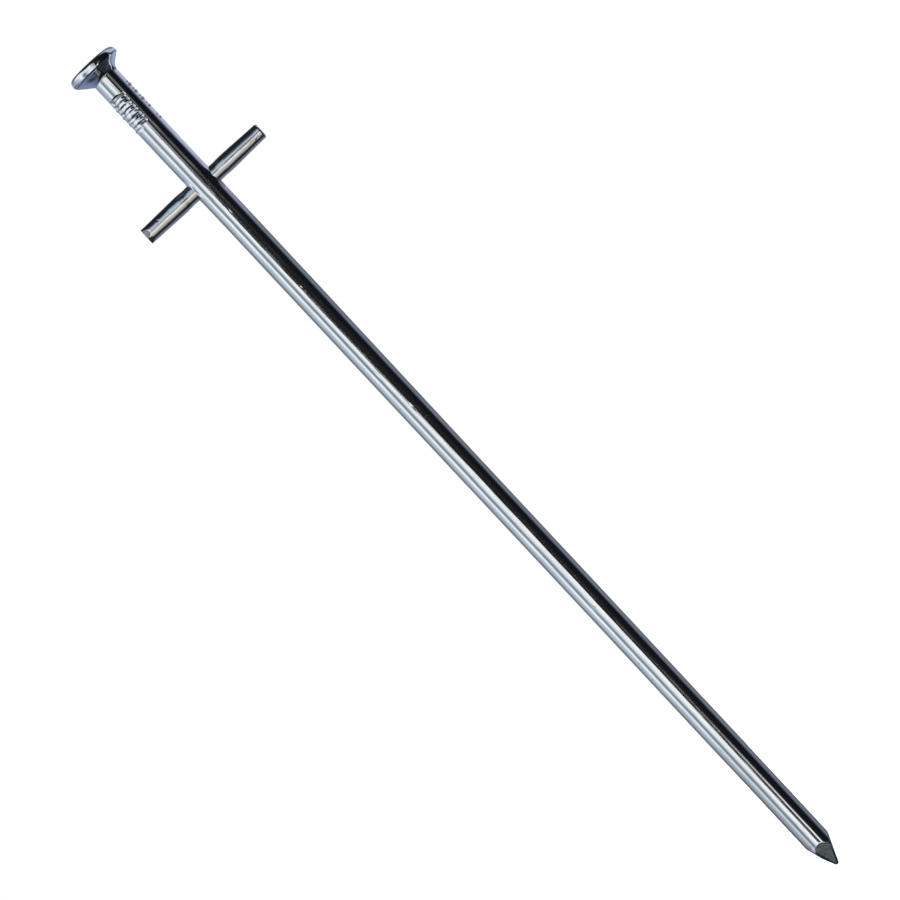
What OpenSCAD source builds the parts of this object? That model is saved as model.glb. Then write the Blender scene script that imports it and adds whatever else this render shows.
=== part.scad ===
// Tent stake: a nail-type ground peg of round steel wire with a cross pin pushed through it.
// Units: millimetres. +Z runs up the shank to the head. The point rests on z = 0 on the axis.
// The cross pin lies along X.

/* [Shank] */
// Overall length, point to striking face
peg_length = 300; // [200:5:400]
// Wire diameter of the lower shank, as it enters the ground
wire_d = 7.68; // [6:0.02:10]
// Diameter just below the cross pin, where a tent's loop sits
seat_d = 7.94; // [6:0.02:10.5]
// Diameter above the cross pin, where the wire was gripped for heading
neck_d = 7.98; // [6:0.02:10.5]
// Height where the wire starts to swell
swell_start_z = 127; // [60:1:160]
// Height where the swell is complete and the loop's seat starts
swell_end_z = 218; // [170:1:235]
// Height where the loop's seat ends, under the cross pin
seat_end_z = 251; // [240:0.5:252]
// Height where the full neck diameter starts, above the cross pin
neck_start_z = 258.6; // [257:0.2:265]

/* [Head] */
// Greatest diameter of the head
head_d = 15.7; // [12:0.1:22]
// How far the head was upset to one side of the shank
head_offset = 0.5; // [0:0.05:1]
// Rounding of the rim above its widest line
rim_top_r = 1.4; // [0.5:0.1:1.8]
// Rounding of the rim below its widest line
rim_bottom_r = 1.0; // [0.4:0.1:1.4]
// Straight band between the two roundings
rim_band = 0.4; // [0.1:0.1:1]
// Angle of the countersunk underside, measured from the shank axis
cone_angle = 52.8; // [40:0.1:65]

/* [Point] */
// Slope of the front and back cuts, measured from the axis
cut_angle_y = 22.9; // [15:0.1:35]
// Slope of the left cut
cut_angle_left = 20.7; // [15:0.1:35]
// Slope of the right cut
cut_angle_right = 23.5; // [15:0.1:35]
// Half width of the blunt tip, front and back
tip_half_y = 0.45; // [0.1:0.05:1]
// Reach of the blunt tip to the left
tip_left = 0.79; // [0.1:0.01:1.2]
// Reach of the blunt tip to the right
tip_right = 0.18; // [0.05:0.01:1.2]
// Turn of the four cuts about the axis
point_turn = -5; // [-45:1:45]

/* [Gripper marks] */
// Number of marks bitten into each side
mark_count = 9; // [4:1:14]
// Spacing of the marks
mark_pitch = 1.275; // [0.8:0.01:2]
// Height of the lowest mark
mark_low_z = 277.7; // [268:0.1:282]
// Depth of a mark
mark_depth = 0.22; // [0.1:0.02:0.5]
// Width of a mark at the surface
mark_width = 0.62; // [0.3:0.02:1]
// Share of the round that one row of marks covers, in degrees
mark_span = 78; // [40:1:110]
// Direction of the first row of marks about the axis
mark_dir = -117; // [-180:1:180]
// Number of nibs squeezed out between the two dies, on each side
nib_count = 4; // [2:1:6]
// Spacing of the nibs
nib_pitch = 2.6; // [1.6:0.1:4]
// Height of the lowest nib on the left
nib_left_z = 277.6; // [274:0.1:282]
// Height of the lowest nib on the right
nib_right_z = 280.8; // [274:0.1:284]
// How far a nib stands out
nib_height = 0.24; // [0.1:0.02:0.5]
// Width of a nib at its foot
nib_width = 0.7; // [0.3:0.05:1.2]
// Share of the round that one nib covers, in degrees
nib_span = 40; // [10:1:60]
// Direction of the right row of nibs about the axis
nib_dir = -12; // [-60:1:60]

/* [Cross pin] */
// Height of the cross pin's axis
pin_z = 254.8; // [240:0.1:265]
// Overall length of the cross pin
pin_length = 43; // [30:0.5:60]
// Diameter of the cross pin in its hole
pin_d = 5.2; // [3.5:0.02:6]
// Diameter at the bottom of the crimp beside the shank
crimp_d = 4.96; // [3.4:0.02:5.9]
// Diameter of the shoulder swaged up on each arm
shoulder_d = 5.36; // [4:0.02:6.5]
// Diameter of the arms' outer ends
arm_end_d = 4.8; // [3.5:0.02:6]
// Distance from the shank axis where the pin leaves its hole's diameter
hole_end_x = 4.3; // [4:0.1:5]
// Distance from the shank axis where the crimp starts
crimp_start_x = 5.2; // [4.4:0.1:6]
// Distance from the shank axis where the crimp ends
crimp_end_x = 6.0; // [4.6:0.1:7]
// Distance from the shank axis where the shoulder is full
shoulder_x = 7.8; // [6:0.1:9]
// Length of the full shoulder
shoulder_len = 0.9; // [0.3:0.1:3]
// Length of the straight outer end
arm_end_len = 4.0; // [1:0.1:8]
// Edge break of the sheared ends
end_break = 0.25; // [0.05:0.05:0.6]

/* [Hidden] */
$fn = 96;
steel = [0.72, 0.74, 0.76];
pin_steel = [0.62, 0.64, 0.67];
wire_r = wire_d / 2;
seat_r = seat_d / 2;
neck_r = neck_d / 2;
head_r = head_d / 2;
// the underside is tangent to the lower rim rounding and meets the shank below it
rim_top_z = peg_length - rim_top_r;
rim_low_z = rim_top_z - rim_band;
rim_low_x = head_r - rim_bottom_r;
cone_touch = [
    rim_low_x + rim_bottom_r * cos(cone_angle),
    rim_low_z - rim_bottom_r * sin(cone_angle)
];
// the cone is carried on into the shank, so the two overlap all round
cone_inner_r = neck_r - 2 * head_offset;
cone_inner_z = cone_touch[1] - (cone_touch[0] - cone_inner_r) / tan(cone_angle);
shank_top_z = rim_low_z;
// each cut is a block larger than the point
cut_block = 30;
cut_below = cut_block / 4;
arm_end_x = pin_length / 2 - arm_end_len;
shoulder_end_x = shoulder_x + shoulder_len;
pin_end_x = pin_length / 2;
// the teeth of the marks reach past the surface by this much
tooth_out = 0.4;
nib_root = 0.5;

// Half space outside one sheared face: off is its distance from the axis at z = 0
module point_cut(direction, off, angle) {
    rotate([0, 0, direction + point_turn])
        translate([off, 0, 0])
            rotate([0, angle, 0])
                translate([0, -cut_block / 2, -cut_below])
                    cube(cut_block);
}

// One V-shaped bite around part of the wire
module mark(z, direction) {
    slope = mark_width / 2 / mark_depth;
    rotate([0, 0, direction - mark_span / 2])
        translate([0, 0, z])
            rotate_extrude(angle = mark_span)
                polygon([
                    [neck_r - mark_depth, 0],
                    [neck_r + tooth_out, slope * (mark_depth + tooth_out)],
                    [neck_r + tooth_out, -slope * (mark_depth + tooth_out)]
                ]);
}

// One nib of metal squeezed out between the dies
module nib(z, direction) {
    rotate([0, 0, direction - nib_span / 2])
        translate([0, 0, z])
            rotate_extrude(angle = nib_span)
                polygon([
                    [neck_r - nib_root, -nib_width / 2],
                    [neck_r, -nib_width / 2],
                    [neck_r + nib_height, -nib_width / 6],
                    [neck_r + nib_height, nib_width / 6],
                    [neck_r, nib_width / 2],
                    [neck_r - nib_root, nib_width / 2]
                ]);
}

module shank() {
    rotate_extrude()
        polygon([
            [0, 0],
            [wire_r, 0],
            [wire_r, swell_start_z],
            [seat_r, swell_end_z],
            [seat_r, seat_end_z],
            [neck_r, neck_start_z],
            [neck_r, shank_top_z],
            [0, shank_top_z]
        ]);
}

module head() {
    translate([-head_offset, 0, 0])
        rotate_extrude()
            union() {
                polygon([
                    [0, cone_inner_z],
                    [cone_inner_r, cone_inner_z],
                    cone_touch,
                    [rim_low_x, rim_low_z],
                    [head_r, rim_low_z],
                    [head_r, rim_top_z],
                    [head_r - rim_top_r, rim_top_z],
                    [head_r - rim_top_r, peg_length],
                    [0, peg_length]
                ]);
                translate([rim_low_x, rim_low_z]) circle(rim_bottom_r);
                translate([head_r - rim_top_r, rim_top_z]) circle(rim_top_r);
            }
}

module stake_body() {
    color(steel)
        difference() {
            union() {
                shank();
                head();
                for (i = [0:nib_count - 1]) {
                    nib(nib_left_z + i * nib_pitch, nib_dir + 180);
                    nib(nib_right_z + i * nib_pitch, nib_dir);
                }
            }
            point_cut(0, tip_right, cut_angle_right);
            point_cut(90, tip_half_y, cut_angle_y);
            point_cut(180, tip_left, cut_angle_left);
            point_cut(270, tip_half_y, cut_angle_y);
            for (i = [0:mark_count - 1]) {
                mark(mark_low_z + i * mark_pitch, mark_dir);
                mark(mark_low_z + i * mark_pitch, mark_dir + 180);
            }
            translate([0, 0, pin_z])
                rotate([0, 90, 0])
                    cylinder(h = neck_d + 2, d = pin_d, center = true);
        }
}

// One half of the cross pin, from the middle of its hole to the sheared end
module pin_half() {
    rotate_extrude()
        polygon([
            [0, 0],
            [pin_d / 2, 0],
            [pin_d / 2, hole_end_x],
            [crimp_d / 2, crimp_start_x],
            [crimp_d / 2, crimp_end_x],
            [shoulder_d / 2, shoulder_x],
            [shoulder_d / 2, shoulder_end_x],
            [arm_end_d / 2, arm_end_x],
            [arm_end_d / 2, pin_end_x - end_break],
            [arm_end_d / 2 - end_break, pin_end_x],
            [0, pin_end_x]
        ]);
}

module cross_pin() {
    color(pin_steel)
        translate([0, 0, pin_z])
            union() {
                rotate([0, 90, 0]) pin_half();
                rotate([0, -90, 0]) pin_half();
            }
}

stake_body();
cross_pin();
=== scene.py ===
import math

import bpy
import numpy as np
from mathutils import Matrix, Vector


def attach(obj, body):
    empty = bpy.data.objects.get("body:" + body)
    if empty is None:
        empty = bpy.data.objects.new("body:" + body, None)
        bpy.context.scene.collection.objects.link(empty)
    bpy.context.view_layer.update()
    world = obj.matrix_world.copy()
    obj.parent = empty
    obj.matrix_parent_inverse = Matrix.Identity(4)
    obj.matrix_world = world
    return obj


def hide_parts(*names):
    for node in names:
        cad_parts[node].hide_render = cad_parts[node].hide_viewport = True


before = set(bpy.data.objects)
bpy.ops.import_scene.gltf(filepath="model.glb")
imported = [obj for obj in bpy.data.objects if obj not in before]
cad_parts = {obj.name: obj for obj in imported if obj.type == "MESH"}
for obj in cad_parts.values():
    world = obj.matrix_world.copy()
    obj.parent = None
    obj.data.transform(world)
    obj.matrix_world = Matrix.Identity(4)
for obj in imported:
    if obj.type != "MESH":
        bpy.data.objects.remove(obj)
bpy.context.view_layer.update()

# The object, in millimetres. +Z runs up the shank, the point is at z = 0 and the cross pin lies
# along X. Angles about the shank are measured from the front (-Y) towards +X, in degrees.
MM = 0.001
LENGTH = 300.0
WIRE_R = 3.86
SEAT_R = 3.985
NECK_R = 4.0
SWELL_Z = (140.0, 218.0)  # the wire thickens between these heights
SEAT_END_Z = 251.0
NECK_Z = 258.6            # the neck has its full radius from here up
BOW_Z = [9, 28, 110, 150, 240, 270, LENGTH]
BOW_X = [-0.08, -0.035, 0.045, 0.035, 0.15, 0.06, 0.10]
PIN_Z = 254.8
PIN_HALF = 21.5
PIN_R = 2.60
HOLE_R = 2.64
HOLE_SIDES = 128
LIP = 0.26                # how far the metal stands up beside the hole
LIP_HALF = 2.5            # its reach above and below the pin's axis
HEAD_R = 7.85
HEAD_FROM_Z = 292.0       # the head's outline is joined to the wire's above this height
RIM_X = -0.44             # the rim's centre, to the left of the shank axis
CONE_X = -0.66            # the countersunk underside sits a little further left than the rim
RIM_TOP_R = 1.4
RIM_LOW_R = 1.0
RIM_TOP_Z = LENGTH - RIM_TOP_R
RIM_LOW_Z = 298.2
RIM_PROUD = 0.12          # the rim's rounding rises this far past the nominal length
CONE_FOOT_Z = 294.72
CONE_SLOPE = 1.317        # radius gained per millimetre of height
SIDES = 288
TIP_Z = 0.03              # height of the lowest ring
FAR = 50.0                # a radius that no surface of the stake reaches


def smoothstep(lo, hi, x):
    t = np.clip((x - lo) / (hi - lo), 0, 1)
    return t * t * (3 - 2 * t)


def soft_min(a, b, k):
    """The smaller of a and b, rounded off over about k where they cross."""
    h = np.clip(0.5 + 0.5 * (b - a) / k, 0, 1)
    return b + (a - b) * h - k * h * (1 - h)


def soft_max(a, b, k):
    return -soft_min(-a, -b, k)


def wrap(deg):
    return (deg + 180) % 360 - 180


def ripple(phi, z, waves, z_len, ring, seed):
    """Smooth bumps of size about 1 over a cylinder: a sum of waves that close round it."""
    draw = np.random.default_rng(seed)
    total = np.zeros(np.broadcast(phi, z).shape)
    for _ in range(waves):
        turns = draw.integers(0, ring + 1)
        along = draw.uniform(0.4, 1.6) * 2 * np.pi * z / z_len
        total += np.sin(np.radians(phi) * turns + along + draw.uniform(0, 6.283))
    return total / math.sqrt(waves)


def hump(x, centre, width):
    """A smooth bump of height 1 at the centre, down to 0.37 at the width from it."""
    return np.exp(-(((x - centre) / width) ** 2))


def lathe_mesh(name, rows, top, bottom):
    """A closed mesh from rings of points, (rings, sides, 3), listed from the bottom cap to the top."""
    m, n, _ = rows.shape
    verts = np.concatenate([rows.reshape(-1, 3), [bottom], [top]])
    i = np.arange(n)
    j = (i + 1) % n
    k = np.arange(m - 1)[:, None] * n
    quads = np.stack([k + i, k + j, k + n + j, k + n + i], -1).reshape(-1, 4)
    low = np.stack([np.full(n, m * n), j, i], -1)
    high = np.stack([np.full(n, m * n + 1), (m - 1) * n + i, (m - 1) * n + j], -1)
    mesh = bpy.data.meshes.new(name)
    mesh.vertices.add(len(verts))
    mesh.vertices.foreach_set("co", (verts * MM).astype(np.float32).ravel())
    corners = np.concatenate([quads.ravel(), low.ravel(), high.ravel()])
    sizes = np.concatenate([np.full(len(quads), 4), np.full(2 * n, 3)])
    starts = np.concatenate([[0], np.cumsum(sizes)[:-1]])
    mesh.loops.add(len(corners))
    mesh.loops.foreach_set("vertex_index", corners.astype(np.int32))
    mesh.polygons.add(len(sizes))
    mesh.polygons.foreach_set("loop_start", starts.astype(np.int32))
    mesh.update(calc_edges=True)
    mesh.validate()
    return mesh


def add(name, mesh):
    obj = bpy.data.objects.new(name, mesh)
    bpy.context.scene.collection.objects.link(obj)
    return obj


def shade(obj, sharp_deg):
    """Smooth shading, with edges sharper than the angle left crisp."""
    mesh = obj.data
    mesh.shade_smooth()
    mesh.set_sharp_from_angle(angle=math.radians(sharp_deg))


# ---------------------------------------------------------------- stake body

phi = wrap(np.arange(SIDES) * 360.0 / SIDES)[None, :]
sin_p, cos_p = np.sin(np.radians(phi)), np.cos(np.radians(phi))


def wire_radius(z):
    heights = [0, *SWELL_Z, SEAT_END_Z, NECK_Z]
    return np.interp(z, heights, [WIRE_R, WIRE_R, SEAT_R, SEAT_R, NECK_R])


def bow(z):
    """The wire isn't perfectly straight: how far its centre lies to the right."""
    return np.interp(z, BOW_Z, BOW_X)


# point: four sheared faces. Each has its direction, its distance from the point's axis at z = 0, how much
# that gains per millimetre of height, and one swell: how far it stands out, at what height, over what length
CUTS = [
    (-9.5, 0.33, 0.443, 0.0, 4.0, 1.0),
    (83.5, 0.48, 0.386, -0.10, 6.3, 0.9),
    (173.0, 0.33, 0.443, 0.0, 4.0, 1.0),
    (-85.0, 0.47, 0.387, 0.10, 3.4, 1.5),
]
CORNER_ROUND = 0.13   # rounding where two cuts meet
RIPPLE = 0.26         # spacing of the shear ripples, by how far the face lies below the wire's surface
RIPPLE_DEPTH = 0.045


def point_radius(z):
    r = np.full(np.broadcast(phi, z).shape, FAR)
    for k, (direction, foot, gain, swell, swell_z, swell_len) in enumerate(CUTS):
        turn = wrap(phi - direction)
        depth = foot + gain * z + swell * hump(z, swell_z, swell_len)
        facing = np.maximum(np.cos(np.radians(turn)), 0.05)
        # shear ripples follow the top of the face, and fade towards the tip
        inward = WIRE_R - depth / facing
        warp = 0.3 * np.sin(np.radians(turn * 2.5 + 40 * k)) + 0.25 * ripple(phi, z, 7, 2.2, 12, 71 + k)
        mark = np.sin(2 * np.pi * (inward / RIPPLE + warp))
        fade = np.exp(-np.maximum(inward, 0) / 0.35) * smoothstep(0.0, 0.1, inward)
        side = 0.2 + 0.8 * smoothstep(-25, 15, turn)
        depth = depth + RIPPLE_DEPTH * mark * fade * side
        depth = depth + 0.014 * ripple(phi, z, 9, 2.6, 9, 31 + k)
        r = soft_min(r, depth / facing, CORNER_ROUND)
    return r


# gripper marks: two rows of bites, one from each die, and nibs squeezed out between the dies
MARKS = [             # height, depth
    (277.7, 0.22), (278.8, 0.38), (280.2, 0.31), (281.2, 0.36), (282.8, 0.26), (283.8, 0.38),
    (285.15, 0.31), (286.4, 0.36), (287.7, 0.36),
]
WALL = 0.54           # height of a bite's steep upper wall
BITE_SLOPE = 0.70     # height of its easy lower slope
TOP_MARK_Z = 288.5    # one arched bite closes each row at the top
DIE_TURN = -27.0      # direction of the front die; the other is opposite
NIBS = [              # direction of the row, then each nib's height up the shank and how far it stands out
    (-102, ((277.6, 0.24), (280.2, 0.22), (282.7, 0.22), (285.4, 0.20))),
    (78, ((276.5, 0.07), (280.8, 0.10), (283.4, 0.20), (286.1, 0.22), (288.6, 0.24))),
]
GRIP_FROM_Z = 270.0   # nothing of the gripper marks lies below this


def tooth(w, depth, wall, slope):
    """A sawtooth bite: a steep wall above its bottom, and a long easy slope below it."""
    up = np.clip(w / wall, 0, 1)
    down = np.clip(-w / slope, 0, 1)
    return -depth * (1 - np.where(w > 0, up, down))


def bites(z):
    out = np.zeros(np.broadcast(phi, z).shape)
    for die in (0, 1):
        turn = wrap(phi - DIE_TURN - 180 * die)
        jitter = np.random.default_rng(50 + die)
        for k, (zk, depth) in enumerate(MARKS):
            half = 36 + jitter.uniform(-3, 3)
            lean = jitter.uniform(0.1, 0.4)
            reach = smoothstep(half + 7, half - 5, np.abs(turn))
            if k == 0:
                reach = reach * smoothstep(6, -14, turn)
            reach = reach * (1 + 0.25 * np.sin(np.radians(turn * 5) + jitter.uniform(0, 6)))
            zc = zk - WALL / 2 - lean * smoothstep(10, 44, turn) - 0.06 * smoothstep(-12, -44, turn)
            zc = zc + 0.05 * np.sin(np.radians(turn * 7) + jitter.uniform(0, 6))
            out = np.minimum(out, reach * tooth(z - zc, depth, WALL, BITE_SLOPE))
            # metal heaped above the wall
            out = out + 0.05 * reach * hump(z, zc + WALL + 0.12, 0.13)
            # each bite throws up a slanting burr where it runs out
            out = out + 0.10 * hump(turn, half + 2, 6) * hump(z, zc + 0.2 - 0.05 * (turn - half), 0.18)
        arch = TOP_MARK_Z - WALL / 2 - 0.75 * smoothstep(2, 44, turn) - 0.35 * smoothstep(-8, -42, turn)
        reach = smoothstep(46, 38, np.abs(turn))
        out = np.minimum(out, reach * tooth(z - arch, 0.36, WALL, 0.6))
    return out


def nibs(z):
    out = np.zeros(np.broadcast(phi, z).shape)
    for side, row in NIBS:
        reach = smoothstep(22, 13, np.abs(wrap(phi - side)))
        for zn, height in row:
            out = out + height * reach * hump(z, zn, 0.27)
            # a shallow hollow above each nib
            out = out - 0.25 * height * reach * hump(z, zn + 0.7, 0.25)
    return out


# nicks and pits from handling: height, direction, depth, half height, half width in degrees
NICKS = [
    (250.3, -22, 0.06, 0.45, 4), (245.0, 1, 0.035, 0.5, 3), (241.5, -34, 0.04, 0.3, 3),
    (215.0, 1, 0.03, 0.8, 3), (184.0, -14, 0.04, 0.9, 4), (171.0, 0, 0.03, 0.7, 3),
    (150.5, -48, 0.03, 0.5, 4), (97.0, -20, 0.03, 0.9, 4), (44.0, -41, 0.03, 0.6, 4),
    (14.4, -12, 0.04, 0.4, 4), (32.0, 62, 0.05, 0.7, 5), (205.0, 118, 0.06, 0.8, 6),
    (160.0, -150, 0.06, 1.0, 6), (88.0, 160, 0.05, 0.7, 6), (232.0, -118, 0.05, 0.9, 5),
    (52.0, -96, 0.05, 0.8, 5),
]


def nicks(z):
    out = np.zeros(np.broadcast(phi, z).shape)
    for zn, turn, depth, tall, wide in NICKS:
        d = ((z - zn) / tall) ** 2 + (wrap(phi - turn) / wide) ** 2
        out -= depth * np.exp(-d)
        # a low raised edge round the nick
        out += 0.25 * depth * np.exp(-((np.sqrt(d) - 1.7) ** 2) / 0.2)
    return out


def circle_reach(cx, radius):
    """Distance from the shank axis to a circle whose centre lies at x = cx."""
    return cx * sin_p + np.sqrt(np.maximum(radius ** 2 - (cx * cos_p) ** 2, 0.01))


def rim_wobble(amount):
    """The forged rim isn't a true circle: flats and swells, scaled by the amount."""
    flats = 0.05 * np.cos(np.radians(phi * 3)) + 0.035 * np.cos(np.radians(phi * 7))
    return (flats + 0.025 * np.sin(np.radians(phi * 10))) * amount


def wire_outline(z):
    """Radius of the wire with its marks, nicks, the lip beside the hole, and the point."""
    body = wire_radius(z) + 0.005 * ripple(phi, z, 14, 23, 5, 3) * smoothstep(8, 20, z)
    body = body + (bites(z) + nibs(z)) * (z > GRIP_FROM_Z) + nicks(z)
    # metal squeezed up where the pin goes in, on both sides
    lip = smoothstep(43, 55, np.abs(phi)) * smoothstep(43, 55, np.abs(wrap(180 - phi)))
    body = body + LIP * lip * np.exp(-(((z - PIN_Z) / LIP_HALF) ** 4))
    r = soft_min(body, point_radius(z), 0.04)
    # the blunt tip is rounded off
    return r * np.sqrt(1 - np.clip(1 - z / 0.3, 0, 0.999) ** 2)


def head_outline(z):
    """Distance from the shank axis to the countersunk underside and the lower rounding of the rim."""
    cone = circle_reach(CONE_X, np.maximum(NECK_R + (z - CONE_FOOT_Z) * CONE_SLOPE, 0.75))
    cone = cone + 0.02 * ripple(phi, z, 7, 3.0, 6, 12)
    drop = np.maximum(RIM_LOW_Z - z, 0)
    under = HEAD_R - RIM_LOW_R + np.sqrt(np.maximum(RIM_LOW_R ** 2 - drop ** 2, 0))
    rim = circle_reach(RIM_X, under + rim_wobble(1.0))
    return soft_min(cone, np.where(z < RIM_LOW_Z - RIM_LOW_R, FAR, rim), 0.18)


def shank_rings():
    """Rings from the tip to the rim's widest line, closest together where the shape is finest."""
    z = np.concatenate([
        np.arange(TIP_Z, 0.5, 0.05), np.arange(0.5, 9.4, 0.11), np.arange(9.4, 273, 0.8),
        np.arange(273, 290.2, 0.075), np.arange(290.2, 294.0, 0.3), np.arange(294.0, 298.6, 0.08),
    ])[:, None]
    # the underside meets the wire in a crease at the front left, and in a fillet at the right
    fillet = 0.06 + 1.5 * smoothstep(14, 46, phi) * smoothstep(150, 100, phi)
    crease = 0.10 * smoothstep(16, 4, phi) * smoothstep(-105, -80, phi)
    wire = wire_outline(z)
    r = np.where(z > HEAD_FROM_Z, soft_max(wire, head_outline(z), fillet), wire)
    foot = CONE_FOOT_Z + (circle_reach(-CONE_X, NECK_R) - NECK_R) / CONE_SLOPE
    r = r - crease * hump(z, foot, 0.16)
    centre = bow(z) - 0.22 * smoothstep(8.5, 3.0, z)
    return np.stack([centre + r * sin_p, -r * cos_p, z + 0 * r], -1)


def rim_rings(dent):
    """The upper rounding of the rim, up to the edge of the striking face."""
    rows = []
    for a in np.linspace(4, 90, 20):
        c, s = math.cos(math.radians(a)), math.sin(math.radians(a))
        ring = HEAD_R - RIM_TOP_R * (1 - c) + rim_wobble(1.0) * (0.4 + 0.6 * c)
        reach = circle_reach(RIM_X, ring)
        top = RIM_TOP_Z + (RIM_TOP_R + RIM_PROUD) * s - dent * s * (0.35 + 0.65 * c)
        rows.append(np.stack([bow(LENGTH) + reach * sin_p, -reach * cos_p, top + 0 * reach], -1))
    return rows


FACE_DENTS = [        # hammer wear on the striking face: x, y, depth, size
    (2.1, 1.4, 0.1, 1.2), (-2.6, -1.8, 0.07, 0.9), (0.3, -3.4, 0.06, 1.0), (-1.2, 3.0, 0.08, 1.3),
]


def face_rings(dent):
    """The worn striking face, from its edge to its middle."""
    rows = []
    edge = circle_reach(RIM_X, HEAD_R - RIM_TOP_R + rim_wobble(0.4))
    edge_z = RIM_TOP_Z + RIM_TOP_R + RIM_PROUD - dent * 0.35
    for share in np.linspace(0.94, 0.06, 16):
        reach = edge * share
        x, y = RIM_X * (1 - share) + reach * sin_p, -reach * cos_p
        worn = 0.03 * np.sin(1.1 * x + 0.5) * np.cos(0.9 * y) + 0.02 * np.sin(2.3 * x - 1.7 * y)
        for dx, dy, depth, size in FACE_DENTS:
            worn = worn - depth * np.exp(-(((x - dx) ** 2 + (y - dy) ** 2) / size ** 2))
        flat = LENGTH + 0.11 + np.minimum(worn, 0.03) * smoothstep(1.0, 0.75, share)
        outer = smoothstep(0.8, 1.0, share)
        flat = flat * (1 - outer) + edge_z * outer
        rows.append(np.stack([bow(LENGTH) + x, y, flat + 0 * x], -1))
    return rows


def stake_rows():
    # how far blows have pressed the rim down, at the right and at the back left
    dent = 0.24 * np.exp(-((wrap(phi - 82) / 34) ** 2)) + 0.1 * np.exp(-((wrap(phi + 140) / 25) ** 2))
    return np.concatenate([shank_rings(), *rim_rings(dent), *face_rings(dent)])


def build_body():
    rows = stake_rows()
    tip = rows[0].mean(0) - [0, 0, TIP_Z]
    mesh = lathe_mesh("stake_body_shape", rows, rows[-1].mean(0), tip)
    body = add("forged_wire_body", mesh)
    # the cross-drilled hole, cut by a cylinder longer than the shank is thick
    turns = np.radians(np.arange(HOLE_SIDES) * 360 / HOLE_SIDES)
    xs = np.array([-6.0, -4.8, 4.8, 6.0])[:, None]
    ys, zs = HOLE_R * np.cos(turns), PIN_Z + HOLE_R * np.sin(turns)
    ring = np.stack([xs + 0 * ys, ys + 0 * xs, zs + 0 * xs], -1)
    drill = add("drill", lathe_mesh("drill", ring, ring[-1].mean(0), ring[0].mean(0)))
    cut = body.modifiers.new("hole", "BOOLEAN")
    cut.object, cut.operation, cut.solver = drill, "DIFFERENCE", "MANIFOLD"
    bpy.context.view_layer.update()
    cut_mesh = bpy.data.meshes.new_from_object(body.evaluated_get(bpy.context.evaluated_depsgraph_get()))
    body.modifiers.clear()
    body.data = cut_mesh
    bpy.data.meshes.remove(mesh)
    bpy.data.objects.remove(drill)
    shade(body, 38)
    return body


# ---------------------------------------------------------------- cross pin

# half profile of each arm: distance from the shank axis, radius on the left arm, on the right arm.
# It is straight in the hole, has a crimp beside the shank and then a shoulder, and tapers to the end
ARM_X = [0, 4.3, 5.3, 6.1, 7.2, 8.3, 11, 13.7, 16.4, 19.2, 21.5]
ARM_LEFT = [PIN_R, PIN_R, 2.545, 2.55, 2.635, 2.69, 2.66, 2.585, 2.53, 2.49, 2.46]
ARM_RIGHT = [PIN_R, PIN_R, 2.55, 2.57, 2.64, 2.655, 2.615, 2.54, 2.465, 2.385, 2.365]
PIN_SIDES = 144
EDGE_LEFT, EDGE_RIGHT = 0.16, 0.58   # rounding of the sheared ends
PIN_NICKS = [         # place along the pin, direction, depth, half length, half width in degrees
    (-16.2, 152, 0.07, 0.3, 7), (-18.0, 140, 0.06, 0.35, 7), (-12.0, 160, 0.03, 0.4, 6),
    (17.5, -160, 0.05, 0.9, 5), (19.2, -155, 0.05, 0.6, 5), (12.4, -170, 0.03, 0.6, 5),
    (9.6, 40, 0.05, 0.6, 9), (-14.0, 10, 0.05, 0.7, 9),
]
# the shears flattened the left end's front in two planes: each plane's direction along the pin, to the
# front and up, the place along the pin where it is measured, and its radius there
SHEAR_FLATS = [((-0.30, 0.93, 0.21), -19.9, 2.40), ((-0.24, 0.72, -0.65), -20.1, 2.42)]


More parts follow.
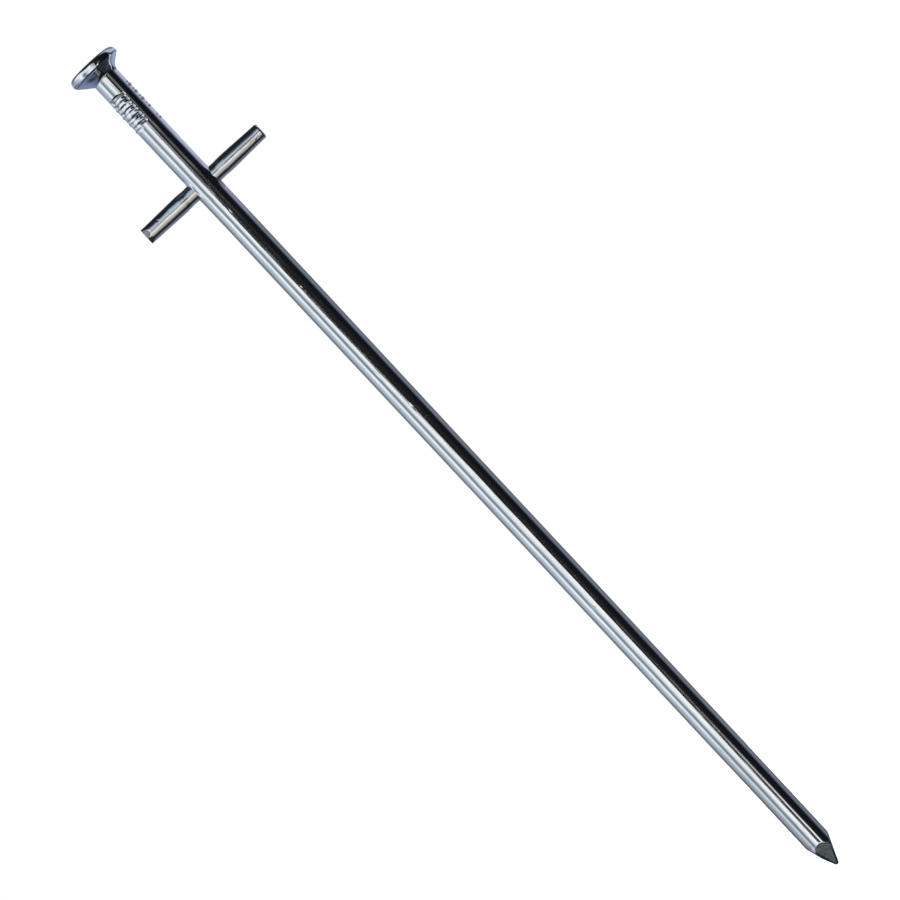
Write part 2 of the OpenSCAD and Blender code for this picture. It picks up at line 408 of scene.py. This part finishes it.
def build_pin():
    # angle 0 is the back of the pin, 90 its top, -90 its underside, 180 the front
    ang = wrap(np.arange(PIN_SIDES) * 360.0 / PIN_SIDES)[None, :]
    xs = np.concatenate([
        np.linspace(-PIN_HALF + 0.01, -PIN_HALF + 0.2, 5), np.arange(-21.2, -3.0, 0.12),
        np.arange(-3.0, 3.0, 0.5), np.arange(3.0, 20.8, 0.12), np.linspace(20.88, PIN_HALF - 0.01, 14),
    ])[:, None]
    left = np.interp(-xs, ARM_X, ARM_LEFT)
    right = np.interp(xs, ARM_X, ARM_RIGHT)
    r = np.where(xs < 0, left, right)
    # the profile's hard corners are rounded by averaging along the pin
    kernel = np.ones(11) / 11
    r = np.convolve(np.pad(r[:, 0], 5, "edge"), kernel, "valid")[:, None]
    free = smoothstep(4.2, 5.2, np.abs(xs))
    r = r + free * 0.010 * ripple(ang, xs, 10, 9, 6, 5)
    for xn, turn, depth, long, wide in PIN_NICKS:
        d = ((xs - xn) / long) ** 2 + (wrap(ang - turn) / wide) ** 2
        r = r - depth * np.exp(-d)
    # sheared ends: a rounded edge, larger on the right, and the shears' flats on the left
    end = PIN_HALF - np.abs(xs)
    edge = np.where(xs < 0, EDGE_LEFT, EDGE_RIGHT)
    r = r - edge * (1 - np.sqrt(1 - np.clip(1 - end / edge, 0, 1) ** 2))
    for (nx, front, up), start, depth in SHEAR_FLATS:
        # how far the plane lets the surface reach, in each direction round the pin
        toward = -front * np.cos(np.radians(ang)) + up * np.sin(np.radians(ang))
        room = (depth * math.hypot(front, up) - nx * (xs - start)) / np.maximum(toward, 0.05)
        r = np.where((toward > 0.05) & (xs < -15), soft_min(r, room, 0.06), r)
    rows = np.stack([xs + 0 * r, r * np.cos(np.radians(ang)), PIN_Z + r * np.sin(np.radians(ang))], -1)
    faces = []
    for side, ring in ((-1, rows[0]), (1, rows[-1])):
        caps = []
        centre = ring.mean(0)
        for share in (0.9, 0.72, 0.5, 0.28, 0.1):
            cap = centre + (ring - centre) * share
            y, z = cap[:, 1], cap[:, 2]
            grain = 0.03 * np.sin(z * 6 + 1.5 * np.sin(y * 2)) + 0.05 * np.sin(z * 1.3 + 1)
            cap[:, 0] = side * (PIN_HALF - 0.04 + 0.4 * grain)
            caps.append(cap)
        faces.append(np.array(caps))
    rows = np.concatenate([faces[0][::-1], rows, faces[1]])
    mesh = lathe_mesh("cross_pin_shape", rows, rows[-1].mean(0), rows[0].mean(0))
    pin = add("cut_wire_cross_pin", mesh)
    shade(pin, 40)
    return pin


# ---------------------------------------------------------------- materials

class Nodes:
    """A short way to write a node tree."""

    def __init__(self, tree):
        self.tree = tree
        tree.nodes.clear()

    def new(self, kind, **settings):
        node = self.tree.nodes.new(kind)
        for key, value in settings.items():
            setattr(node, key, value)
        return node

    def link(self, a, b):
        self.tree.links.new(a, b)

    def value(self, socket, v):
        if isinstance(v, bpy.types.NodeSocket):
            self.link(v, socket)
        else:
            socket.default_value = v

    def math(self, op, a, b=0.0, c=0.0):
        node = self.new("ShaderNodeMath", operation=op)
        for socket, v in zip(node.inputs, (a, b, c)):
            self.value(socket, v)
        return node.outputs[0]

    def step(self, lo, hi, x):
        """Smoothly from 0 at lo to 1 at hi. lo may be the larger."""
        node = self.new("ShaderNodeMapRange", interpolation_type="SMOOTHSTEP")
        ends = (1.0, 0.0) if lo > hi else (0.0, 1.0)
        for socket, v in zip(node.inputs, (x, min(lo, hi), max(lo, hi), *ends)):
            self.value(socket, v)
        return node.outputs[0]

    def near(self, x, centre, width):
        """1 where x is at the centre, falling to 0 at that width to either side."""
        return self.step(width, 0.0, self.math("ABSOLUTE", self.math("SUBTRACT", x, centre)))

    def mix(self, share, a, b):
        node = self.new("ShaderNodeMix", data_type="RGBA")
        self.value(node.inputs[0], share)
        self.value(node.inputs[6], a)
        self.value(node.inputs[7], b)
        return node.outputs[2]

    def noise(self, vector, scale, detail, rough):
        node = self.new("ShaderNodeTexNoise", noise_type="FBM")
        self.value(node.inputs["Vector"], vector)
        node.inputs["Scale"].default_value = scale
        node.inputs["Detail"].default_value = detail
        node.inputs["Roughness"].default_value = rough
        return node.outputs[0]

    def stretch(self, vector, sx, sy, sz, turn=(0, 0, 0)):
        node = self.new("ShaderNodeMapping")
        self.value(node.inputs["Vector"], vector)
        node.inputs["Scale"].default_value = (sx, sy, sz)
        node.inputs["Rotation"].default_value = turn
        return node.outputs[0]

    def ramp(self, x, stops):
        node = self.new("ShaderNodeValToRGB")
        node.color_ramp.interpolation = "LINEAR"
        self.value(node.inputs[0], x)
        points = node.color_ramp.elements
        while len(points) > 1:
            points.remove(points[-1])
        points[0].position, points[0].color = stops[0][0], stops[0][1]
        for at, colour in stops[1:]:
            points.new(at).color = colour
        return node.outputs[0]


def linear(r, g, b):
    """A colour given as 0 to 255 in sRGB, as linear light."""
    out = []
    for v in (r, g, b):
        c = v / 255
        out.append(c / 12.92 if c <= 0.04045 else ((c + 0.055) / 1.055) ** 2.4)
    return (*out, 1.0)


def zinc(name, along, tint, dark, shine):
    """Bright zinc over drawn steel. along is the wire's direction, the axis that streaks are stretched on."""
    mat = bpy.data.materials.new(name)
    mat.use_nodes = True
    n = Nodes(mat.node_tree)
    at = n.new("ShaderNodeTexCoord").outputs["Object"]

    def drawn_out(share):
        """Coordinates squeezed along the wire, so that a texture comes out stretched along it."""
        scale = [1.0, 1.0, 1.0]
        scale["XYZ".index(along)] = share
        return n.stretch(at, *scale)

    drawn, soft = drawn_out(0.06), drawn_out(0.12)
    streak = n.noise(drawn, 2600, 3, 0.55)
    cloud = n.noise(at, 140, 3, 0.5)
    mottle = n.noise(soft, 950, 1, 0.4)
    fine = n.noise(at, 4200, 2, 0.5)
    # sparse pits and short scratches
    pits = n.new("ShaderNodeTexVoronoi", feature="F1")
    n.link(at, pits.inputs["Vector"])
    pits.inputs["Scale"].default_value = 620
    pitted = n.step(0.58, 0.68, n.noise(at, 210, 2, 0.5))
    pit = n.math("MULTIPLY", n.step(0.2, 0.04, pits.outputs["Distance"]), pitted)
    cross = n.stretch(at, 0.35, 0.35, 2.6, turn=(0.5, 0.9, 0.2))
    scratch_across = n.near(n.noise(cross, 330, 1, 0.4), 0.5, 0.018)
    scratch_along = n.near(n.noise(drawn, 1500, 1, 0.4), 0.46, 0.02)
    scratched = n.step(0.52, 0.64, n.noise(at, 95, 2, 0.5))
    scratch = n.math("MULTIPLY", n.math("MAXIMUM", scratch_across, scratch_along), scratched)
    colour = n.mix(n.step(0.35, 0.7, cloud), tint, dark)
    colour = n.mix(n.math("MULTIPLY", n.step(0.45, 0.8, streak), 0.3), colour, linear(172, 176, 182))
    colour = n.mix(n.math("MULTIPLY", pit, 0.7), colour, linear(90, 92, 96))
    colour = n.mix(n.math("MULTIPLY", scratch, 0.3), colour, linear(244, 245, 247))
    rough = n.math("ADD", shine, n.math("MULTIPLY", n.step(0.35, 0.75, cloud), 0.03))
    worn = n.math("MAXIMUM", pit, n.math("MULTIPLY", scratch, 0.5))
    rough = n.math("ADD", rough, n.math("MULTIPLY", worn, 0.2))
    # one unit of height is the size of the mottle; the bump's distance sets how deep that is
    height = mottle
    relief = ((streak, 0.5, 0.12), (fine, 0.5, 0.05), (pit, 0.0, -0.12), (scratch, 0.0, -0.03))
    for texture, middle, amount in relief:
        height = n.math("MULTIPLY_ADD", n.math("SUBTRACT", texture, middle), amount, height)
    bump = n.new("ShaderNodeBump")
    n.link(height, bump.inputs["Height"])
    shader = n.new("ShaderNodeBsdfPrincipled")
    shader.inputs["Metallic"].default_value = 1.0
    n.link(colour, shader.inputs["Base Color"])
    n.link(rough, shader.inputs["Roughness"])
    n.link(bump.outputs[0], shader.inputs["Normal"])
    out = n.new("ShaderNodeOutputMaterial")
    n.link(shader.outputs[0], out.inputs[0])
    return mat, n, {"at": at, "shader": shader, "colour": colour, "rough": rough, "bump": bump}


def body_material():
    tint, dark = linear(232, 235, 239), linear(224, 228, 234)
    mat, n, part = zinc("bright_zinc_wire", "Z", tint, dark, 0.062)
    shader, bump = part["shader"], part["bump"]
    split = n.new("ShaderNodeSeparateXYZ")
    n.link(part["at"], split.inputs[0])
    x, y, z = split.outputs
    # the wire's surface is rougher where the dies gripped it than on the lower half
    upper = n.math("MULTIPLY", n.step(120 * MM, 200 * MM, z), n.step(296 * MM, 290 * MM, z))
    n.link(n.math("MULTIPLY_ADD", upper, 0.0065 * MM, 0.0025 * MM), bump.inputs["Distance"])
    # the sheared faces: bare, matte and dark, below the edge where the round wire ends
    from_axis = n.math("ADD", x, 0.08 * MM)
    radius = n.math("SQRT", n.math("ADD", n.math("MULTIPLY", from_axis, from_axis), n.math("MULTIPLY", y, y)))
    inward = n.math("SUBTRACT", WIRE_R * MM, radius)
    sheared = n.math("MULTIPLY", n.step(0.012 * MM, 0.03 * MM, inward), n.step(9.4 * MM, 9.0 * MM, z))
    grain = n.noise(n.stretch(part["at"], 1, 1, 0.4), 1500, 4, 0.65)
    patch = n.noise(part["at"], 420, 2, 0.5)
    bare = n.mix(n.step(0.3, 0.7, grain), linear(122, 133, 136), linear(164, 172, 174))
    bare = n.mix(n.math("MULTIPLY", n.step(0.42, 0.6, patch), 0.6), bare, linear(108, 120, 125))
    # ripples left by the shears, with a painted highlight on their crests and painted shade in their troughs,
    # fading towards the tip
    uneven = n.math("MULTIPLY", patch, 14.0)
    wave = n.math("SINE", n.math("MULTIPLY_ADD", inward, 2 * math.pi / (RIPPLE * MM), uneven))
    fade = n.math("EXPONENT", n.math("MULTIPLY", inward, -1 / (0.8 * MM)))
    fade = n.math("MULTIPLY", fade, n.math("MULTIPLY_ADD", n.step(-1.2 * MM, 0.6 * MM, x), 0.7, 0.3))
    crest_painted_highlight = n.math("MULTIPLY", n.step(0.1, 0.9, wave), fade)
    trough_painted_shade = n.math("MULTIPLY", n.step(-0.1, -0.9, wave), fade)
    # painted highlight on the ripple crests, then painted shade in the ripple troughs
    bare = n.mix(n.math("MULTIPLY", crest_painted_highlight, 0.75), bare, linear(206, 212, 213))
    bare = n.mix(n.math("MULTIPLY", trough_painted_shade, 0.9), bare, linear(40, 46, 50))
    # painted shade, near black, in the corners between the faces and at the tip
    lean = n.math("MULTIPLY_ADD", n.step(8.5 * MM, 3.0 * MM, z), 0.22 * MM, 0.08 * MM)
    about = n.math("ARCTAN2", n.math("ADD", x, lean), n.math("MULTIPLY", y, -1.0))
    corner = None
    for degrees in (-44.0, 38.0, 129.0, -134.0):
        off = n.math("ABSOLUTE", n.math("SUBTRACT", about, math.radians(degrees)))
        close = n.step(0.42 * MM, 0.2 * MM, n.math("MULTIPLY", off, radius))
        corner = close if corner is None else n.math("MAXIMUM", corner, close)
    corner = n.math("MAXIMUM", corner, n.step(0.9 * MM, 0.3 * MM, z))
    # painted shade: the corners between the faces and the tip are mixed towards near black
    bare = n.mix(n.math("MULTIPLY", corner, 0.9), bare, linear(38, 42, 44))
    # the wire is darker and greyer, in uneven patches, just above the left corner
    darker_patch_above_corner = n.math("MULTIPLY", n.step(9.8 * MM, 7.6 * MM, z), n.step(-0.42, -0.62, about))
    darker_patch_above_corner = n.math("MULTIPLY", darker_patch_above_corner, n.math("MULTIPLY_ADD", n.step(0.35, 0.6, patch), 0.4, 0.6))
    colour = n.mix(n.math("MULTIPLY", darker_patch_above_corner, 0.75), part["colour"], linear(150, 148, 154))
    colour = n.mix(sheared, colour, bare)
    rough = n.new("ShaderNodeMix", data_type="FLOAT")
    n.link(sheared, rough.inputs[0])
    n.link(part["rough"], rough.inputs[2])
    n.link(n.math("MULTIPLY_ADD", grain, 0.2, 0.42), rough.inputs[3])
    n.link(colour, shader.inputs["Base Color"])
    n.link(rough.outputs[0], shader.inputs["Roughness"])
    return mat


def pin_material():
    tint, dark = linear(230, 231, 233), linear(218, 218, 220)
    mat, n, part = zinc("bright_zinc_pin", "X", tint, dark, 0.065)
    split = n.new("ShaderNodeSeparateXYZ")
    n.link(part["at"], split.inputs[0])
    x, y, z = split.outputs
    part["bump"].inputs["Distance"].default_value = 0.006 * MM
    # the sheared ends, and the shears' flats on the left one, are matte and grey
    end = n.step((PIN_HALF - 0.22) * MM, (PIN_HALF - 0.10) * MM, n.math("ABSOLUTE", x))
    up = n.math("SUBTRACT", z, PIN_Z * MM)
    radius = n.math("SQRT", n.math("ADD", n.math("MULTIPLY", y, y), n.math("MULTIPLY", up, up)))
    flat = n.math("MULTIPLY", n.step(2.47 * MM, 2.43 * MM, radius), n.step(-19.6 * MM, -20.0 * MM, x))
    end = n.math("MAXIMUM", end, flat)
    grain = n.noise(part["at"], 2400, 3, 0.6)
    bare = n.mix(n.step(0.35, 0.65, grain), linear(120, 125, 126), linear(160, 165, 166))
    colour = n.mix(end, part["colour"], bare)
    n.link(colour, part["shader"].inputs["Base Color"])
    rough = n.math("MAXIMUM", part["rough"], n.math("MULTIPLY", end, 0.42))
    n.link(rough, part["shader"].inputs["Roughness"])
    return mat


# ---------------------------------------------------------------- light, floor and camera

class Studio:
    """A ring of soft panels, for the metal to mirror: a colour for each direction.

    turn is -180 to 180 degrees about the stake from the front, positive to the right.
    rise is in degrees above level.
    """

    def __init__(self, n):
        self.n = n
        split = n.new("ShaderNodeSeparateXYZ")
        n.link(n.new("ShaderNodeTexCoord").outputs["Generated"], split.inputs[0])
        self.x, y, z = split.outputs
        ahead = n.math("MULTIPLY", y, -1.0)
        self.turn = n.math("MULTIPLY", n.math("ARCTAN2", self.x, ahead), 180 / math.pi)
        self.rise = n.math("MULTIPLY", n.math("ARCSINE", z), 180 / math.pi)
        self.drop = n.math("MULTIPLY", self.rise, -1.0)

    def band(self, v, a, b, c, d):
        """1 between b and c, falling to 0 at a and d."""
        return self.n.math("MULTIPLY", self.n.step(a, b, v), self.n.step(d, c, v))

    def turned(self, *ends):
        return self.band(self.turn, *ends)

    def risen(self, *ends):
        return self.band(self.rise, *ends)

    def both(self, *masks):
        out = masks[0]
        for mask in masks[1:]:
            out = self.n.math("MULTIPLY", out, mask)
        return out

    def paint(self, base, rgb, share, mask):
        """The colour over the base, as strong as the share, where the mask is 1."""
        return self.n.mix(self.n.math("MULTIPLY", mask, share), base, linear(*rgb))

    def panels(self, v, *stops):
        """Colours that blend from one stop to the next."""
        lo, hi = stops[0][0], stops[-1][0]
        at = self.n.math("DIVIDE", self.n.math("SUBTRACT", v, lo), hi - lo)
        return self.n.ramp(at, [((k - lo) / (hi - lo), linear(*rgb)) for k, rgb in stops])

    def edge(self):
        """Where the bright left side ends and the dark right side begins, in degrees of turn, by rise."""
        n, reach = self.n, 4.5
        stops = (
            (-4.5, -5.8), (-3.9, -5.2), (-3.7, -3.8), (-3.2, -1.0), (-2.8, 2.0), (-2.3, 4.4), (-0.4, 4.6),
            (0.05, 1.0), (0.5, -8.0), (1.0, -11.0), (1.5, -13.0), (1.9, -14.5), (2.4, -14.0), (2.7, -12.5),
            (3.0, -9.5), (3.3, -8.5), (3.55, -6.0), (3.72, 9.0), (4.5, 8.5),
        )
        # a ramp holds 0 to 1, so 20 is added to each edge and 40 is the most it can be
        at = n.math("DIVIDE", n.math("ADD", self.rise, reach), 2 * reach)
        grey = [((k + reach) / (2 * reach), ((e + 20) / 40,) * 3 + (1.0,)) for k, e in stops]
        return n.math("MULTIPLY_ADD", n.ramp(at, grey), 40.0, -20.0)

    def level(self):
        """What the upright shank mirrors: everything within a few degrees of level."""
        n, turn, rise = self.n, self.turn, self.rise
        shift = n.math("MULTIPLY", self.edge(), self.turned(-40.0, -14.0, 18.0, 44.0))
        level = self.panels(
            n.math("SUBTRACT", turn, shift),
            (-180, (122, 128, 134)), (-138, (112, 118, 124)), (-126, (118, 126, 131)),
            (-114, (158, 166, 172)), (-100, (178, 186, 194)), (-86, (190, 198, 205)),
            (-78, (226, 233, 240)), (-70, (248, 252, 255)), (-63, (216, 224, 230)),
            (-56, (138, 147, 154)), (-50, (116, 125, 131)), (-44, (132, 142, 147)),
            (-36, (184, 192, 196)), (-29, (226, 230, 232)), (-20, (237, 239, 237)), (-8, (248, 249, 247)),
            (-1.2, (250, 250, 248)), (1.2, (26, 26, 26)), (7, (24, 24, 25)), (16, (31, 31, 32)),
            (34, (30, 31, 32)), (50, (22, 22, 24)), (66, (19, 21, 25)), (78, (14, 18, 25)),
            (86, (32, 38, 46)), (92, (66, 74, 84)), (100, (96, 103, 113)), (110, (116, 122, 132)),
            (122, (110, 116, 127)), (134, (92, 98, 108)), (180, (118, 124, 132)),
        )
        # a narrow light panel on the dark side, low down, and another high up
        low_rise = self.both(n.step(-3.25, -3.8, rise), n.step(-40.0, -25.0, rise))
        low = self.both(self.turned(14.0, 19.0, 25.0, 31.5), low_rise)
        level = n.mix(low, level, linear(248, 250, 251))
        low_dim = self.both(self.turned(6.0, 14.0, 28.0, 38.0), self.risen(-3.9, -3.6, -3.3, -2.4))
        level = self.paint(level, (170, 172, 174), 0.14, low_dim)
        high_rise = self.both(n.step(3.1, 3.8, rise), n.step(4.08, 3.98, rise))
        high = self.both(self.turned(21.0, 29.0, 36.0, 46.0), high_rise)
        level = self.paint(level, (176, 178, 180), 0.9, high)
        plateau = self.both(self.turned(-6.0, 0.0, 8.0, 15.0), self.risen(2.8, 3.1, 3.5, 3.75))
        level = self.paint(level, (84, 84, 84), 0.8, plateau)
        # cooler and brighter above level at the right and behind, and a touch cooler at the left
        cool_right = n.math("MULTIPLY", n.step(2.6, 3.0, rise), n.step(90.0, 122.0, turn))
        level = n.mix(cool_right, level, linear(176, 182, 208))
        dim_left = n.math("MULTIPLY", n.step(-2.6, -4.1, rise), n.step(-46.0, -58.0, turn))
        level = self.paint(level, (10, 12, 16), 0.36, dim_left)
        cool_left = n.math("MULTIPLY", n.step(3.0, 3.9, rise), n.step(-98.0, -125.0, turn))
        return self.paint(level, (164, 170, 202), 0.75, cool_left)

    def ahead(self):
        """Straight ahead above and below level, where the cross pin looks."""
        n, turn = self.n, self.turn
        up = self.panels(
            self.rise,
            (0, (150, 156, 160)), (4, (140, 146, 150)), (8, (140, 148, 152)), (12, (164, 176, 185)),
            (18, (184, 198, 208)), (30, (186, 201, 211)), (40, (172, 188, 200)), (48, (134, 150, 168)),
            (56, (92, 106, 122)), (63, (58, 68, 82)), (72, (36, 42, 50)), (90, (26, 29, 34)),
        )
        mid_dark = self.both(self.risen(1.5, 4.3, 9.5, 14.5), n.step(0.0, 2.4, turn))
        up = n.mix(mid_dark, up, linear(42, 48, 52))
        early_dark = self.both(self.risen(24.0, 50.0, 62.0, 75.0), n.step(0.0, 3.0, turn))
        up = self.paint(up, (34, 40, 50), 0.8, early_dark)
        down = self.panels(
            self.drop,
            (0, (232, 234, 233)), (4, (246, 246, 242)), (14, (246, 244, 238)), (22, (218, 213, 203)),
            (32, (196, 191, 180)), (44, (178, 175, 166)), (52, (152, 150, 146)), (59, (104, 104, 106)),
            (66, (42, 44, 48)), (78, (28, 32, 38)), (90, (62, 68, 78)),
        )
        return n.mix(n.step(-1.0, 1.0, self.rise), down, up)

    def behind(self):
        """Behind, where the underside of the head and the pin's edges look."""
        n = self.n
        up = self.panels(
            self.rise,
            (0, (150, 156, 176)), (14, (128, 126, 128)), (30, (100, 96, 96)), (50, (58, 56, 58)),
            (70, (32, 34, 38)), (90, (26, 29, 34)),
        )
        left = self.panels(
            self.drop,
            (0, (126, 137, 165)), (30, (122, 133, 161)), (50, (112, 123, 152)), (60, (104, 115, 142)),
            (68, (92, 102, 124)), (78, (62, 70, 84)), (90, (56, 60, 70)),
        )
        right = self.panels(
            self.drop,
            (0, (150, 166, 200)), (26, (150, 168, 202)), (34, (124, 144, 172)), (43, (96, 112, 134)),
            (50, (70, 82, 96)), (57, (52, 60, 68)), (66, (40, 46, 54)), (78, (40, 46, 58)),
            (90, (56, 60, 70)),
        )
        middle = self.panels(
            self.drop,
            (0, (152, 158, 176)), (34, (134, 140, 156)), (50, (116, 123, 142)), (66, (112, 119, 138)),
            (74, (106, 113, 130)), (82, (84, 91, 106)), (90, (56, 61, 74)),
        )
        down = n.mix(n.step(-0.12, 0.12, self.x), left, right)
        down = n.mix(self.band(self.x, -0.14, -0.07, 0.07, 0.14), down, middle)
        return n.mix(n.step(-1.0, 1.0, self.rise), down, up)

    def sides(self):
        """The level colours carried on to a dark top and floor, with a bright sweep at the upper left."""
        n, rise = self.n, self.rise
        sweep = self.both(self.turned(-128.0, -104.0, -16.0, -6.0), self.risen(16.0, 24.0, 46.0, 60.0))
        sides = self.paint(self.level(), (244, 247, 250), 0.8, sweep)
        sides = n.mix(n.step(50.0, 64.0, rise), sides, linear(32, 36, 44))
        sides = n.mix(n.step(-36.0, -50.0, rise), sides, linear(28, 32, 38))
        # the right side of the rim: grey above, dark below
        above = self.both(self.turned(84.0, 100.0, 130.0, 140.0), self.risen(5.0, 9.0, 30.0, 44.0))
        sides = n.mix(above, sides, linear(178, 181, 188))
        below = self.both(self.turned(80.0, 88.0, 130.0, 140.0), n.step(-6.0, -11.0, rise))
        return n.mix(below, sides, linear(42, 46, 54))

    def streak(self, seen):
        """A thin bright streak low on the right, with dark beside it, that runs down behind."""
        n = self.n
        first, last, deepest = 80.0, 160.0, 60.0
        stops = ((80, 6), (92, 24), (98.5, 34), (120, 41), (149, 45), (160, 46))
        at = n.math("DIVIDE", n.math("SUBTRACT", self.turn, first), last - first)
        grey = [((t - first) / (last - first), (drop / deepest,) * 3 + (1.0,)) for t, drop in stops]
        beside = n.math("ABSOLUTE", n.math("MULTIPLY_ADD", n.ramp(at, grey), deepest, self.rise))
        along = self.both(self.turned(84.0, 90.0, 138.0, 148.0), n.step(0.0, -10.0, self.rise))
        seen = n.mix(self.both(along, n.step(9.0, 5.0, beside)), seen, linear(36, 40, 48))
        return n.mix(self.both(along, n.step(3.6, 1.8, beside)), seen, linear(252, 253, 254))

    def all_round(self):
        n = self.n
        steep, away = n.math("ABSOLUTE", self.rise), n.math("ABSOLUTE", self.turn)
        seen = n.mix(self.both(n.step(4.6, 5.4, steep), n.step(13.0, 7.0, away)), self.sides(), self.ahead())
        seen = n.mix(self.both(n.step(8.0, 14.0, steep), n.step(130.0, 144.0, away)), seen, self.behind())
        return self.streak(seen)


def build_world():
    """White for the camera, and the studio's panels for the metal to mirror."""
    world = bpy.data.worlds.new("studio")
    bpy.context.scene.world = world
    world.use_nodes = True
    n = Nodes(world.node_tree)
    seen = Studio(n).all_round()
    # each further bounce between two parts of the metal loses light, which darkens the creases
    path = n.new("ShaderNodeLightPath")
    bounced = n.step(2.2, 2.8, path.outputs["Ray Depth"])
    seen = n.mix(n.math("MULTIPLY", bounced, 0.7), seen, linear(20, 22, 24))
    glow = n.new("ShaderNodeBackground")
    n.link(seen, glow.inputs["Color"])
    glow.inputs["Strength"].default_value = 1.2
    plain = n.new("ShaderNodeBackground")
    plain.inputs["Color"].default_value = (1, 1, 1, 1)
    plain.inputs["Strength"].default_value = 1.02
    pick = n.new("ShaderNodeMixShader")
    n.link(path.outputs["Is Camera Ray"], pick.inputs[0])
    n.link(glow.outputs[0], pick.inputs[1])
    n.link(plain.outputs[0], pick.inputs[2])
    out = n.new("ShaderNodeOutputWorld")
    n.link(pick.outputs[0], out.inputs[0])


def build_floor():
    """A round pale floor under the tip. The metal doesn't mirror it, so that it stays plain."""
    sides, radius, below = 96, 0.7, -0.3 * MM
    angles = [2 * math.pi * k / sides for k in range(sides)]
    ring = [(radius * math.cos(angle), radius * math.sin(angle), below) for angle in angles]
    mesh = bpy.data.meshes.new("floor")
    mesh.from_pydata(ring, [], [list(range(sides))])
    floor = add("pale_floor", mesh)
    floor.visible_glossy = False
    mat = bpy.data.materials.new("pale_floor")
    mat.use_nodes = True
    n = Nodes(mat.node_tree)
    shader = n.new("ShaderNodeBsdfPrincipled")
    shader.inputs["Base Color"].default_value = (0.9, 0.9, 0.9, 1)
    shader.inputs["Roughness"].default_value = 0.9
    shader.inputs["Emission Color"].default_value = (1, 1, 1, 1)
    shader.inputs["Emission Strength"].default_value = 0.72
    out = n.new("ShaderNodeOutputMaterial")
    n.link(shader.outputs[0], out.inputs[0])
    mesh.materials.append(mat)


def build_lights():
    """Two large soft panels, overhead and front left, that light the matte surfaces."""
    for name, place, aim, size, watts in (
        ("overhead_panel", (0.0, -0.3, 1.6), (0, 0, 0.15), 1.4, 16),
        ("front_left_panel", (-1.1, -1.5, 0.7), (0, 0, 0.1), 1.0, 9),
    ):
        data = bpy.data.lights.new(name, "AREA")
        data.shape, data.size, data.energy = "DISK", size, watts
        lamp = bpy.data.objects.new(name, data)
        bpy.context.scene.collection.objects.link(lamp)
        back = Vector(place) - Vector(aim)
        lamp.location = place
        lamp.rotation_mode = "QUATERNION"
        lamp.rotation_quaternion = back.to_track_quat("Z", "Y")
        lamp.visible_camera = False
        lamp.visible_glossy = False


def build_camera():
    """Level with the middle of the stake, and rolled so that it lies from upper left to lower right."""
    distance = 2.0
    frame_width = 0.24665                   # how much fits across the picture at the stake
    roll_sin, roll_cos = 0.68269, 0.73071
    data = bpy.data.cameras.new("camera")
    data.sensor_width = 36.0
    data.lens = data.sensor_width * distance / frame_width
    data.clip_start, data.clip_end = 0.05, 20
    camera = bpy.data.objects.new("camera", data)
    bpy.context.scene.collection.objects.link(camera)
    camera.matrix_world = Matrix((
        (roll_cos, roll_sin, 0, -0.00053),
        (0, 0, -1, -distance),
        (-roll_sin, roll_cos, 0, 0.1554),
        (0, 0, 0, 1),
    ))
    bpy.context.scene.camera = camera


bpy.context.scene.view_settings.view_transform = "Standard"
build_camera()
build_world()
build_lights()
build_floor()

body = build_body()
body.data.materials.clear()
body.data.materials.append(body_material())
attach(body, "root")
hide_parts("stake_body")

pin = build_pin()
pin.data.materials.append(pin_material())
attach(pin, "root")
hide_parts("cross_pin")
